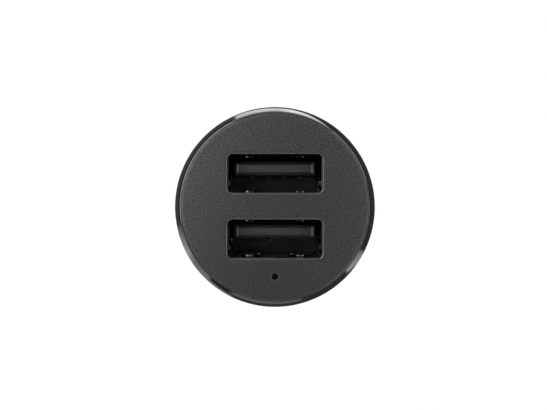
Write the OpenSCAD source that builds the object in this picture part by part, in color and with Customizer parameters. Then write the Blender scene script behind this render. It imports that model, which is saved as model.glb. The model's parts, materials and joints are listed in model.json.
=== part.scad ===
// Two-port USB charger plug for a car's 12 V socket.
// The plug's axis is Y: the face with the ports looks towards -Y and the centre contact points to +Y.
// The origin is on the axis, where the barrel leaves the shoulder that stops against the car's socket.

/* [Head] */
// Space between the sockets' outer corners and the skirt behind the face
port_margin = 0.64; // [0.5:0.02:2.4]
// Length of the ribs between the port board and the shoulder
rest_len = 1.7; // [1:0.1:4]
// How much narrower the head is at the shoulder than at the rim
head_taper = 0.8; // [0:0.1:1.4]
// Wall of the head at the shoulder
head_wall = 1.5; // [1.2:0.1:1.7]
// Width of the sloping rim, seen from the front
rim_w = 0.85; // [0.6:0.05:1]
// Depth of the sloping rim
rim_depth = 0.8; // [0.5:0.05:1.2]
// Radius of the rim's slight crown
rim_crown_r = 3; // [1.5:0.1:6]
// Thickness of the shoulder
shoulder_t = 1.8; // [1.4:0.1:2.2]
// Rounding where the head's side turns into the shoulder
shoulder_r = 1.2; // [0.6:0.1:1.6]

/* [Face plate] */
// Thickness of the plate
plate_t = 1.6; // [1.2:0.1:2.2]
// Gap all round between the plate and the rim
plate_gap = 0.05; // [0.04:0.01:0.12]
// Rounding of the plate's front edge
plate_edge_r = 0.2; // [0.1:0.05:0.4]
// Wall of the skirt behind the plate
skirt_wall = 0.9; // [0.6:0.05:1]
// Length of the skirt behind the plate
skirt_len = 4.4; // [4:0.1:7]
// How far each port window is wider than the socket, at each side
window_side = 0.06; // [0.04:0.02:0.3]
// Corner radius of each port window
window_r = 0.65; // [0.3:0.05:1]
// Diameter of the pinhole for the light
pinhole_d = 0.9; // [0.7:0.05:1.3]
// Diameter of the light pipe behind the pinhole
pipe_d = 1.6; // [1.3:0.1:1.7]
// Space between the lower socket and the light pipe
pipe_gap = 1.35; // [0.8:0.05:1.6]

/* [Ports] */
// Distance between the centres of the two ports
port_pitch = 8.72; // [8.2:0.02:9]
// Height of the middle between the ports above the axis
port_raise = 0.12; // [0:0.02:0.2]
// Gap between the face plate and the front of a socket
port_gap = 0.1; // [0.05:0.05:0.3]

/* [USB sockets] */
// Width inside the metal shell
socket_w = 12.6; // [12.3:0.05:12.7]
// Height inside the metal shell
socket_h = 5.12; // [4.9:0.02:5.3]
// Sheet thickness of the shell
shell_t = 0.3; // [0.2:0.02:0.34]
// Corner radius inside the shell
shell_r = 0.4; // [0.2:0.05:0.7]
// Depth of the cavity from the shell's front edge
socket_depth = 11.4; // [11:0.1:12]
// Thickness of the insulator's base
base_t = 2.2; // [1.8:0.1:2.6]
// Gap between the tongue and the shell, at each side
tongue_side = 0.75; // [0.6:0.05:0.95]
// Thickness of the tongue
tongue_t = 1.84; // [1.6:0.02:1.96]
// Length of the tongue
tongue_len = 8.9; // [8.2:0.1:9.1]
// Gap between the shell's top wall and the tongue
tongue_drop = 0.78; // [0.6:0.02:0.9]
// Bevel along the tongue's upper and lower front edges
tongue_bevel = 0.42; // [0.15:0.01:0.5]
// Width of the shallow bevel at each end of the tongue's front
tongue_end_w = 0.4; // [0.2:0.05:0.6]
// Depth of that bevel
tongue_end_depth = 0.12; // [0.06:0.01:0.3]
// Width of a retaining finger at its root
finger_w = 1.9; // [1.4:0.1:2.2]
// Distance of a retaining finger from the socket's middle
finger_x = 3.45; // [2.9:0.05:3.8]
// How far a retaining finger stands into the socket
finger_rise = 0.35; // [0.2:0.05:0.4]
// Width of a contact blade
blade_w = 1; // [0.8:0.05:1.1]
// Thickness of a contact blade
blade_t = 0.25; // [0.15:0.01:0.3]
// How far a contact blade bows out of the tongue
blade_bow = 0.3; // [0.1:0.05:0.5]

/* [Barrel] */
// Diameter of the barrel
barrel_d = 20.4; // [20:0.1:20.6]
// Length of the barrel, from the shoulder to the nose cap
barrel_len = 27; // [26.5:0.5:34]
// Wall of the barrel
barrel_wall = 1.3; // [1.1:0.05:1.5]
// How far the locating band stands out of the barrel
band_rise = 0.2; // [0.1:0.02:0.3]
// Length of the locating band behind the shoulder
band_len = 7.5; // [5:0.5:8]

/* [Ground contacts] */
// Thickness of the spring strip
strip_t = 0.4; // [0.3:0.05:0.5]
// Width of the spring strip
strip_w = 4; // [3:0.1:4.4]
// Gap between the leaf's free end and the nose cap
leaf_gap = 1; // [0.8:0.1:3]
// How far the leaf bows out from its ends
leaf_rise = 1.15; // [0.8:0.05:1.3]
// How far each ear stands out beside the strip at its root
ear_w = 1.2; // [0.8:0.1:1.4]
// Turn of the leaf about its ears when it is pressed in
flex_angle = 7; // [3:0.5:8]

/* [Nose cap and tip] */
// Length of the cap in front of the barrel
nose_len = 8.5; // [7.5:0.5:11]
// Diameter of the cap's end
nose_d = 12.6; // [11:0.1:14]
// Length of the spigot inside the barrel
spigot_len = 3.4; // [2.8:0.1:3.6]
// Diameter of the centre contact
tip_d = 6; // [5:0.1:6.6]
// How far the centre contact stands out of the cap
tip_out = 4.5; // [3.6:0.1:6]
// Thickness of the centre contact's flange
flange_t = 1.2; // [0.8:0.1:1.6]
// How far the flange stands out beyond the tip
flange_w = 1; // [0.8:0.05:1.2]
// Thickness of the cap's end wall in front of the flange
end_wall = 3.7; // [3:0.1:4.5]
// Wire diameter of the tip's spring
wire_d = 0.6; // [0.4:0.05:0.7]
// Turns of the tip's spring
spring_turns = 5; // [3.5:0.5:6]

/* [Circuit boards] */
// Thickness of both circuit boards
board_t = 1.2; // [1:0.1:1.6]
// Gap left round a circuit board
board_gap = 0.15; // [0.1:0.05:0.3]
// Distance between the main board's end and the cap's spigot
board_stop = 1.3; // [1.2:0.1:2.5]
// Length and width of the power inductor
inductor_size = 7; // [5:0.1:7.2]
// Height of the power inductor
inductor_h = 4; // [2.5:0.1:5]
// Diameter of each electrolytic capacitor
can_d = 6.3; // [4:0.1:6.6]
// Height of each electrolytic capacitor
can_h = 5.6; // [4.5:0.1:6]
// Height of the indicator LED
led_h = 0.8; // [0.6:0.05:1]

/* [Hidden] */
$fn = 72;
eps = 0.01;
// Clearances: between still pieces, round the sliding tip, and round the contacts
fit = 0.03;
running_fit = 0.08;
loose_fit = 0.25;

// The head and what sets its size: the sockets' corners, the light pipe and the walls round them
port_z = [port_raise + port_pitch / 2, port_raise - port_pitch / 2];
socket_len = socket_depth + base_t;
corner_z = port_z[0] + socket_h / 2 + shell_t;
corner_r = norm([socket_w / 2 + shell_t, corner_z]);
head_len = plate_t + port_gap + socket_len + board_t + rest_len + shoulder_t;
pipe_r = pipe_d / 2;
pipe_margin = 0.2;
pinhole_drop = socket_h / 2 + shell_t - port_z[1] + pipe_gap + pipe_r;
skirt_inner_r = max(corner_r + port_margin, pinhole_drop + pipe_r + pipe_margin);
head_r = skirt_inner_r + skirt_wall + running_fit + head_wall + head_taper / 2;
front_y = -head_len;
head_back_r = head_r - head_taper / 2;
head_bore_r = head_back_r - head_wall;
seat_r = head_r - rim_w;
plate_r = seat_r - plate_gap;
plate_back_y = front_y + plate_t;
skirt_r = head_bore_r - running_fit;
// Snap beads on the skirt and on the nose cap's spigot
snap_w = 1;
snap_h = 0.3;
snap_angle = 16;
snap_y = plate_back_y + skirt_len - 1.2;

// The windows and the sockets behind them
window_w = socket_w + 2 * window_side;
window_h = socket_h;
socket_y = plate_back_y + port_gap;
tongue_w = socket_w - 2 * tongue_side;
tongue_top = socket_h / 2 - tongue_drop;
tongue_bottom = tongue_top - tongue_t;
blade_x = [-3.5, -1, 1, 3.5];
blade_front = socket_depth - tongue_len + 0.9;
groove_depth = blade_t + fit;
finger_slot = 0.3;
finger_front = 1.1;
finger_root = 8.6;
finger_tip_w = 0.5 * finger_w;
side_finger_z = -socket_h / 4;
side_finger_w = 0.7 * finger_w;
leg_w = 1.8;
tail_w = 0.5;
tail_out = 1.3;
pin_hole_r = 0.4;

// The port board and the ribs it rests on
port_board_y = socket_y + socket_len;
port_board_back = port_board_y + board_t;
port_board_r = head_bore_r - board_gap;
rest_w = 1.4;
rest_inset = 1.6;

// The barrel, the main board in it and the rails that hold the board
barrel_r = barrel_d / 2;
barrel_bore_r = barrel_r - barrel_wall;
band_r = barrel_r + band_rise;
band_ramp = 0.3;
spigot_y = barrel_len - spigot_len;
main_board_end = spigot_y - board_stop;
main_board_half = sqrt(pow(barrel_bore_r, 2) - pow(board_t / 2, 2)) - board_gap;
tab_half = port_pitch / 2 - socket_h / 2 - shell_t - 0.3;
rail_w = 0.8;
rail_h = 1.2;
rail_end = main_board_end - 3;

// The positive terminal on the main board's end
terminal_t = 0.5;
terminal_y = main_board_end + 0.1;
terminal_leg = 3;
terminal_leg_t = 0.4;
legs_y = terminal_y - terminal_leg;

// Packages of the boards' parts
can_base = can_d + 0.3;
so8_len = 4.9;
so8_w = 3.9;
so8_h = 1.5;
so8_pitch = 1.27;
sot_len = 2.9;
sot_w = 1.6;
sot_h = 1.1;
sot_pitch = 0.95;
lead_w = 0.35;
lead_t = 0.2;
lead_out = 0.8;
passive_len = 3.2;
passive_w = 1.6;
diode_len = 4.3;
diode_w = 2.6;
diode_h = 2;
edge_z = main_board_half - rail_h - diode_w / 2 - 0.3;
charge_chip_x = board_t / 2 + inductor_h + 0.8 + sot_w / 2 + lead_out;

// The inductor, the ground contacts' arms and the capacitors share the main board's length evenly
ear_half = 0.4;
ear_x = barrel_bore_r - 0.1;
arm_gap = 0.15;
arm_sweep = (ear_x - board_t / 2) * sin(flex_angle);
board_filled = inductor_size + arm_sweep + strip_t + can_base;
part_space = (legs_y - port_board_back - board_filled) / 4;
coil_y = port_board_back + part_space + inductor_size / 2;
root_y = coil_y + inductor_size / 2 + part_space + arm_sweep + strip_t / 2;
can_y = root_y + strip_t / 2 + part_space + can_base / 2;

// The ground contact's leaf: an arc from its root to its free end
root_slot = strip_t + 0.34;
leaf_end_y = spigot_y - leaf_gap;
leaf_len = leaf_end_y - root_y;
leaf_half = leaf_len / 2;
leaf_x = barrel_r - strip_t / 2;
leaf_r = (pow(leaf_half, 2) + pow(leaf_rise, 2)) / (2 * leaf_rise);
leaf_mid_y = root_y + leaf_half;
curl_len = 1.2;
window_end = leaf_end_y + strip_t + loose_fit;

// The nose cap and the centre contact in it
cap_r = barrel_r - 0.15;
cap_land = 1.2;
cap_end = barrel_len + nose_len;
spigot_r = barrel_bore_r - fit;
spigot_snap_y = barrel_len - spigot_len / 2;
tip_r = tip_d / 2;
flange_r = tip_r + flange_w;
chamber_r = flange_r + 0.2;
flange_front = cap_end - end_wall - 0.05;
flange_back = flange_front - flange_t;
tip_end = cap_end + tip_out;
dome_r = tip_r + 0.2;
tip_wall = 0.8;
tip_hollow = 3;
spring_r = tip_r + flange_w / 2;

// A box given by its lowest and highest corners
module span(low, high) {
    translate(low) cube(high - low);
}

// Turns a profile of radius and distance along the plug into a round solid about the Y axis
module turned(angle = 360) {
    rotate([-90, 0, 0]) rotate_extrude(angle = angle) children();
}

// Pushes a shape drawn in the XZ plane back along +Y
module pushed(depth) {
    rotate([-90, 0, 0]) linear_extrude(depth) children();
}

// Pushes a shape drawn in the YZ plane to both sides of X = 0
module across(width) {
    rotate([90, 0, 90]) linear_extrude(width, center = true) children();
}

module mirrored() {
    children();
    mirror([1, 0, 0]) children();
}

module rounded_rect(width, height, radius) {
    square([width - 2 * radius, height], center = true);
    square([width, height - 2 * radius], center = true);
    for (x = [-1, 1], y = [-1, 1])
        translate([x * (width / 2 - radius), y * (height / 2 - radius)]) circle(radius);
}

// The sliver between a straight edge and an arc of the given radius that bulges to the edge's right
module crowned_edge(from, to, radius) {
    run = to - from;
    length = norm(run);
    outward = [run[1], -run[0]] / length;
    centre = (from + to) / 2 - outward * sqrt(pow(radius, 2) - pow(length / 2, 2));
    intersection() {
        translate(centre) circle(radius);
        polygon([from, to, to + outward * length, from + outward * length]);
    }
}

// A strip's outline round a line of points, thickness laid off towards +y
function strip_outline(points, thickness) =
    concat(points, [for (i = [len(points) - 1 : -1 : 0]) points[i] + [0, thickness]]);

// Round beads or their groove, spread evenly about the axis
module snap_beads(radius, height, width, angle) {
    for (turn = [45 : 90 : 315])
        rotate([0, turn + angle / 2, 0]) turned(angle)
            polygon([[radius - 0.2, -width / 2], [radius, -width / 2], [radius + height, 0],
                [radius, width / 2], [radius - 0.2, width / 2]]);
}

module housing_outline() {
    rim_start = [seat_r, front_y];
    rim_end = [head_r, front_y + rim_depth];
    polygon([[0, front_y], rim_start, rim_end, [head_back_r, -shoulder_r], [0, -shoulder_r]]);
    crowned_edge(rim_start, rim_end, rim_crown_r);
    translate([head_back_r - shoulder_r, -shoulder_r]) circle(shoulder_r);
    translate([0, -2 * shoulder_r]) square([head_back_r - shoulder_r, 2 * shoulder_r]);
    polygon([[0, -shoulder_r], [band_r, -shoulder_r], [band_r, band_len - band_ramp],
        [barrel_r, band_len], [barrel_r, barrel_len - 0.3], [barrel_r - 0.3, barrel_len],
        [0, barrel_len]]);
}

module housing_hollow() {
    translate([0, front_y - 1]) square([seat_r, plate_t + 1]);
    translate([0, front_y]) square([head_bore_r, head_len - shoulder_t]);
    translate([0, -shoulder_t - eps]) square([barrel_bore_r, barrel_len + shoulder_t + 1]);
}

// The housing: head, stop shoulder and barrel moulded as one piece, open at both ends
module housing() {
    color("#101012") difference() {
        union() {
            turned() difference() {
                housing_outline();
                housing_hollow();
            }
            board_rests();
            board_rails();
        }
        translate([0, snap_y, 0])
            snap_beads(head_bore_r, snap_h + fit, snap_w + 0.2, snap_angle + 2);
        translate([0, spigot_snap_y, 0])
            snap_beads(barrel_bore_r, snap_h + fit, snap_w + 0.2, snap_angle + 2);
        mirrored() ground_contact_opening();
    }
}

// Four ribs on the shoulder's inner face, which carry the port board
module board_rests() {
    for (turn = [45 : 90 : 315])
        rotate([0, turn, 0])
            span([head_bore_r - rest_inset, port_board_back, -rest_w / 2],
                [head_bore_r + 0.3, -shoulder_t + eps, rest_w / 2]);
}

// Pairs of rails along the barrel's bore, which hold the main board's edges
module board_rails() {
    mirrored() for (side = [-1, 1])
        scale([1, 1, side])
            span([board_t / 2 + board_gap / 2, 0, barrel_bore_r - rail_h],
                [board_t / 2 + board_gap / 2 + rail_w, rail_end, barrel_bore_r + 0.3]);
}

// The window for a contact's leaf, and the pockets in the bore's wall that hold its two ears
module ground_contact_opening() {
    leaf_z = strip_w / 2 + loose_fit;
    ear_z = strip_w / 2 + ear_w + loose_fit / 2;
    inner_x = barrel_bore_r - 1.6;
    pocket_x = ear_x + ear_half + 0.15;
    span([inner_x, root_y - root_slot / 2, -leaf_z], [band_r + 1, window_end, leaf_z]);
    span([inner_x, root_y - root_slot / 2, -ear_z], [pocket_x, root_y + root_slot / 2, ear_z]);
}

// The face plate: a disc with two port windows and a pinhole, and a skirt that snaps into the head
module face_plate() {
    color("#3f3f41") difference() {
        union() {
            turned() {
                translate([0, front_y + plate_edge_r])
                    square([plate_r, plate_t - plate_edge_r]);
                translate([0, front_y]) square([plate_r - plate_edge_r, plate_t]);
                translate([plate_r - plate_edge_r, front_y + plate_edge_r]) circle(plate_edge_r);
                translate([skirt_r - skirt_wall, plate_back_y - eps])
                    square([skirt_wall, skirt_len]);
            }
            translate([0, snap_y, 0]) snap_beads(skirt_r, snap_h, snap_w, snap_angle);
        }
        for (z = port_z)
            translate([0, front_y - 1, z]) pushed(plate_t + 2)
                rounded_rect(window_w, window_h, window_r);
        translate([0, front_y - 1, -pinhole_drop]) pushed(plate_t + 2) circle(d = pinhole_d);
    }
}

// The light pipe: a clear rod from the LED to the pinhole, with a thin end inside the pinhole
module light_pipe() {
    color("#6b6f76") translate([0, 0, -pinhole_drop]) turned() {
        translate([0, plate_back_y + fit])
            square([pipe_r, port_board_y - led_h - fit - plate_back_y - fit]);
        translate([0, front_y + plate_t / 2]) square([pinhole_d / 2 - fit, plate_t / 2 + 2 * fit]);
    }
}

// A rolled socket shell, in its own frame: the mouth's middle is the origin and +Y is inwards
module socket_tube() {
    difference() {
        pushed(socket_len)
            rounded_rect(socket_w + 2 * shell_t, socket_h + 2 * shell_t, shell_r + shell_t);
        translate([0, -1, 0]) pushed(socket_len + 2) rounded_rect(socket_w, socket_h, shell_r);
    }
}

// How far a finger stands in from its wall, with u from 0 at its raised tip over the crest to 1 at its root
function finger_lift(u) = finger_rise * sin(180 * (u + 0.35) / 1.35);

// A retaining finger of the top wall, free at its front end
module finger(width, wall) {
    length = finger_root - finger_front;
    steps = 8;
    line = [for (i = [0 : steps])
        [finger_front + length * i / steps, wall - finger_lift(i / steps)]];
    intersection() {
        across(width) polygon(strip_outline(line, shell_t));
        translate([0, 0, wall]) linear_extrude(4 * (shell_t + finger_rise), center = true)
            polygon([[-finger_tip_w / 2, finger_front], [finger_tip_w / 2, finger_front],
                [width / 2, finger_front + 2], [width / 2, finger_root + 1],
                [-width / 2, finger_root + 1], [-width / 2, finger_front + 2]]);
    }
}

module finger_opening(width, wall) {
    span([-width / 2 - finger_slot, finger_front - finger_slot, wall - 0.1],
        [width / 2 + finger_slot, finger_root - eps, wall + shell_t + 0.1]);
}

// Places a finger or its opening at each of the socket's six fingers
module at_fingers() {
    for (x = [-1, 1], side = [0, 1])
        translate([x * finger_x, 0, 0]) mirror([0, 0, side]) {
            $wall = socket_h / 2;
            $width = finger_w;
            children();
        }
    for (turn = [-90, 90])
        translate([0, 0, side_finger_z]) rotate([0, turn, 0]) {
            $wall = socket_w / 2;
            $width = side_finger_w;
            children();
        }
}

// A socket's metal shell with its retaining fingers and the legs that stand in the port board
module usb_shell(z) {
    color("#2c2c2e") translate([0, socket_y, z]) {
        difference() {
            socket_tube();
            at_fingers() finger_opening($width, $wall);
        }
        at_fingers() finger($width, $wall);
        mirrored() span([socket_w / 2, socket_len - eps, -leg_w / 2],
            [socket_w / 2 + shell_t, socket_len + board_t + 1, leg_w / 2]);
    }
}

// The tongue, bevelled along its front edges
module tongue() {
    tip_y = socket_depth - tongue_len;
    end_y = socket_depth + 0.2;
    half = tongue_w / 2;
    intersection() {
        across(tongue_w)
            polygon([[tip_y, tongue_bottom + tongue_bevel], [tip_y, tongue_top - tongue_bevel],
                [tip_y + tongue_bevel, tongue_top], [end_y, tongue_top],
                [end_y, tongue_bottom], [tip_y + tongue_bevel, tongue_bottom]]);
        translate([0, 0, tongue_bottom - 1]) linear_extrude(tongue_t + 2)
            polygon([[-half + tongue_end_w, tip_y], [half - tongue_end_w, tip_y],
                [half, tip_y + tongue_end_depth], [half, end_y], [-half, end_y],
                [-half, tip_y + tongue_end_depth]]);
    }
}

// A socket's insulator: a base that closes the shell's back and a tongue with four grooves below
module usb_insulator(z) {
    groove = blade_w / 2 + fit;
    color("#1c1c1e") translate([0, socket_y, z]) difference() {
        union() {
            translate([0, socket_depth, 0]) pushed(base_t)
                rounded_rect(socket_w - 2 * fit, socket_h - 2 * fit, shell_r);
            tongue();
        }
        for (x = blade_x)
            span([x - groove, blade_front - 0.3, tongue_bottom - 1],
                [x + groove, socket_depth, tongue_bottom + groove_depth]);
        for (x = blade_x)
            span([x - groove, socket_depth - eps, tongue_bottom - fit],
                [x + groove, socket_len + 1, tongue_bottom + groove_depth]);
    }
}

// A contact blade: it lies in a groove of the tongue, bows out of it, and its tail crosses the board
module usb_blade(z, x) {
    length = socket_depth - blade_front;
    steps = 10;
    line = [for (i = [0 : steps])
        [blade_front + length * i / steps,
            tongue_bottom - (blade_bow + fit) * sin(180 * pow(i / steps, 0.7))]];
    color("#c8a24a") translate([x, socket_y, z]) {
        across(blade_w) polygon(strip_outline(line, blade_t));
        span([-blade_w / 2, socket_depth - eps, tongue_bottom],
            [blade_w / 2, socket_len - fit, tongue_bottom + blade_t]);
        span([-tail_w / 2, socket_len - 2 * fit, tongue_bottom],
            [tail_w / 2, socket_len + board_t + tail_out, tongue_bottom + blade_t]);
    }
}

// The port board: a round circuit board across the head, which carries both sockets and the LED
module port_board() {
    leg_x = (socket_w + shell_t) / 2;
    color("#1f4d3a") difference() {
        turned() translate([0, port_board_y]) square([port_board_r, board_t]);
        for (z = port_z) translate([0, port_board_y - 1, z]) {
            for (x = blade_x)
                translate([x, 0, tongue_bottom + blade_t / 2]) pushed(board_t + 2)
                    circle(pin_hole_r);
            mirrored() translate([leg_x, 0, 0]) pushed(board_t + 2)
                square([shell_t + 0.4, leg_w + 0.4], center = true);
        }
        span([-board_t / 2 - board_gap / 2, port_board_y - 1, port_raise - tab_half - board_gap],
            [board_t / 2 + board_gap / 2, port_board_back + 1, port_raise + tab_half + board_gap]);
    }
}

// The main board: it stands edge to edge in the barrel, with one tab in the port board
module main_board() {
    half = board_t / 2;
    color("#1f4d3a") {
        span([-half, port_board_back + fit, -main_board_half],
            [half, main_board_end, main_board_half]);
        span([-half, port_board_y, port_raise - tab_half],
            [half, port_board_back + 1, port_raise + tab_half]);
    }
}

// Stands a part drawn upright on the main board's face, on its +X or -X side
module on_main_board(side, y, z) {
    translate([side * board_t / 2, y, z]) rotate([0, side * 90, 0]) children();
}

// The LED on the port board, with its small round window towards the light pipe
module indicator_led() {
    length = 1.6;
    width = 1.2;
    color("#e8e4d0") translate([0, port_board_y - led_h, -pinhole_drop]) {
        span([-length / 2, led_h / 2, -width / 2], [length / 2, led_h, width / 2]);
        pushed(led_h) circle(width / 2 - 0.1);
    }
}

// The shielded inductor, with the round gap between its core and its shield
module power_inductor() {
    core_r = 0.36 * inductor_size;
    gap_w = 0.4;
    color("#4a4a4c") on_main_board(1, coil_y, 0) difference() {
        linear_extrude(inductor_h) rounded_rect(inductor_size, inductor_size, inductor_size / 6);
        translate([0, 0, inductor_h - gap_w]) difference() {
            cylinder(h = 2 * gap_w, r = core_r + gap_w);
            cylinder(h = 2 * gap_w, r = core_r);
        }
    }
}

// An electrolytic capacitor: an aluminium can on its square plastic base
module electrolytic_can() {
    base_h = 1;
    translate([-can_base / 2, -can_base / 2, 0]) cube([can_base, can_base, base_h]);
    cylinder(h = can_h, d = can_d);
}

module input_capacitor() {
    color("#b9bcc0") on_main_board(-1, can_y, 0) electrolytic_can();
}

module output_capacitor() {
    color("#b9bcc0") on_main_board(1, can_y, 0) electrolytic_can();
}

// A flat chip with a row of bent leads along each long side
module leaded_chip(length, width, height, leads, pitch) {
    lift = 0.1;
    knee = width / 2 + lead_t;
    lead_top = height / 2 + lead_t;
    span([-width / 2, -length / 2, lift], [width / 2, length / 2, height]);
    for (i = [0 : leads - 1], side = [0, 1])
        translate([0, (i - (leads - 1) / 2) * pitch - lead_w / 2, 0]) mirror([side, 0, 0]) {
            span([width / 2 - 0.1, 0, height / 2], [knee + lead_t, lead_w, lead_top]);
            span([knee, 0, 0], [knee + lead_t, lead_w, lead_top]);
            span([knee, 0, 0], [width / 2 + lead_out, lead_w, lead_t]);
        }
}

module buck_converter_chip() {
    color("#232325") on_main_board(-1, coil_y, 0) leaded_chip(so8_len, so8_w, so8_h, 4, so8_pitch);
}

// A charge control chip on the port board's back, beside the main board
module charge_chip(side) {
    color("#232325") translate([side * charge_chip_x, port_board_back, port_raise]) rotate([-90, 0, 0])
        leaded_chip(sot_len, sot_w, sot_h, 3, sot_pitch);
}

// A small block-shaped part with a metal cap on each end, lying along the plug
module chip_part(length, width, height) {
    translate([-width / 2, -length / 2, 0.05]) cube([width, length, height - 0.05]);
    for (side = [-1, 1])
        translate([0, side * (length / 2 - 0.25), height / 2])
            cube([width + 0.1, 0.5, height], center = true);
}

module rectifier_diode() {
    color("#29292b") on_main_board(-1, coil_y, -edge_z) chip_part(diode_len, diode_w, diode_h);
}

module board_fuse() {
    color("#d9d9d4") on_main_board(1, legs_y - 0.5, edge_z - 1) chip_part(passive_len, passive_w, 0.8);
}

module ceramic_capacitor(side) {
    color("#b98d5a") on_main_board(side, can_y, -edge_z) chip_part(passive_len, passive_w, 1.2);
}

module sense_resistor(side) {
    color("#3a3a3c") on_main_board(side, can_y, edge_z) chip_part(passive_len, passive_w, 0.6);
}

// The terminal on the main board's end: a disc for the spring and two legs that clasp the board
module positive_terminal() {
    color("#c9b26a") {
        turned() translate([0, terminal_y]) square([spring_r + wire_d, terminal_t]);
        mirrored() span([board_t / 2, legs_y, -1.5],
            [board_t / 2 + terminal_leg_t, terminal_y + eps, 1.5]);
    }
}

// A coil spring as one tube swept along a helix, closed at both ends
module coil_spring(radius, wire_radius, height, turns, sides, per_turn) {
    rings = turns * per_turn;
    points = [for (i = [0 : rings], k = [0 : sides - 1])
        let (turn = 360 * i / per_turn, tilt = 360 * k / sides, reach = radius + wire_radius * cos(tilt))
        [reach * cos(turn), reach * sin(turn), height * i / rings + wire_radius * sin(tilt)]];
    walls = [for (i = [0 : rings - 1], k = [0 : sides - 1])
        let (next = (k + 1) % sides)
        [i * sides + k, (i + 1) * sides + k, (i + 1) * sides + next, i * sides + next]];
    first = [for (k = [0 : sides - 1]) k];
    last = [for (k = [sides - 1 : -1 : 0]) rings * sides + k];
    polyhedron(concat(points), concat(walls, [first, last]));
}

module tip_spring() {
    start = terminal_y + terminal_t + wire_d / 2 + fit;
    height = flange_back - wire_d / 2 - fit - start;
    color("#c4c6c9") translate([0, start, 0]) rotate([-90, 0, 0])
        coil_spring(spring_r, wire_d / 2, height, spring_turns, 8, 18);
}

// The centre contact: a hollow domed tip with a flange that stops inside the nose cap
module centre_tip() {
    dome_y = tip_end - dome_r;
    shoulder_y = dome_y + sqrt(pow(dome_r, 2) - pow(tip_r, 2));
    color("#c9cbce") turned() difference() {
        union() {
            translate([0, flange_back]) square([flange_r, flange_t]);
            translate([0, flange_back]) square([tip_r, shoulder_y - flange_back]);
            intersection() {
                translate([0, dome_y]) circle(dome_r);
                translate([0, dome_y]) square([tip_r, dome_r + 1]);
            }
        }
        translate([0, flange_back - 1]) square([tip_r - tip_wall, 1 + tip_hollow]);
    }
}

module nose_outline() {
    land_end = [cap_r, barrel_len + cap_land];
    nose_end = [nose_d / 2, cap_end];
    polygon([[0, barrel_len], [cap_r, barrel_len], land_end, nose_end, [0, cap_end]]);
    crowned_edge(land_end, nose_end, 2 * nose_len);
    translate([0, spigot_y]) square([spigot_r, spigot_len + eps]);
}

// The nose cap: it snaps into the barrel's end and guides the centre contact
module nose_cap() {
    color("#151517") {
        turned() difference() {
            nose_outline();
            translate([0, spigot_y - 1]) square([chamber_r, cap_end - end_wall - spigot_y + 1]);
            square([tip_r + running_fit, cap_end + 1]);
        }
        translate([0, spigot_snap_y, 0]) snap_beads(spigot_r, snap_h, snap_w, snap_angle);
    }
}

// The leaf's bowed line, a slice of a ring
module leaf_section() {
    centre_x = leaf_x + leaf_rise - leaf_r;
    intersection() {
        translate([centre_x, leaf_mid_y]) difference() {
            circle(leaf_r, $fn = 200);
            circle(leaf_r - strip_t, $fn = 200);
        }
        translate([0, root_y - strip_t / 2]) square([2 * barrel_r, leaf_len + strip_t]);
    }
}

// A ground contact: an arm to the main board, ears in the barrel's slot, and a bowed leaf
module ground_contact() {
    half = strip_w / 2;
    color("#b9bbbe") {
        translate([0, 0, -half]) linear_extrude(strip_w) leaf_section();
        span([board_t / 2 + arm_gap, root_y - strip_t / 2, -half],
            [leaf_x - strip_t / 4, root_y + strip_t / 2, half]);
        span([ear_x - ear_half, root_y - strip_t / 2, -half - ear_w],
            [ear_x + ear_half, root_y + strip_t / 2, half + ear_w]);
        span([leaf_x - curl_len, leaf_end_y - strip_t / 2, -half],
            [leaf_x - strip_t / 4, leaf_end_y + strip_t / 2, half]);
    }
}

housing();
face_plate();
light_pipe();
nose_cap();
usb_shell(port_z[0]);  // usb_shell_upper
usb_shell(port_z[1]);  // usb_shell_lower
usb_insulator(port_z[0]);  // usb_insulator_upper
usb_insulator(port_z[1]);  // usb_insulator_lower
for (i = [0 : 3]) {
    usb_blade(port_z[0], blade_x[i]);
    usb_blade(port_z[1], blade_x[i]);
}
port_board();
main_board();
indicator_led();
power_inductor();
input_capacitor();
output_capacitor();
buck_converter_chip();
rectifier_diode();
charge_chip(-1);  // charge_chip_left
charge_chip(1);  // charge_chip_right
board_fuse();
ceramic_capacitor(-1);  // ceramic_capacitor_1
ceramic_capacitor(1);  // ceramic_capacitor_2
sense_resistor(-1);  // sense_resistor_1
sense_resistor(1);  // sense_resistor_2
positive_terminal();
tip_spring();
centre_tip();
mirror([1, 0, 0]) ground_contact();  // ground_contact_left
ground_contact();  // ground_contact_right
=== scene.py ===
# %% [markdown]
# # A two-port car charger plug
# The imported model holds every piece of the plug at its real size. This notebook gives each piece that can be
# seen a finer surface and a finish. It works in millimetres and turns them into metres when a mesh is made.

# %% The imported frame
import json

import bmesh
import bpy
import numpy as np
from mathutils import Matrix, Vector
from mathutils.geometry import tessellate_polygon

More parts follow.
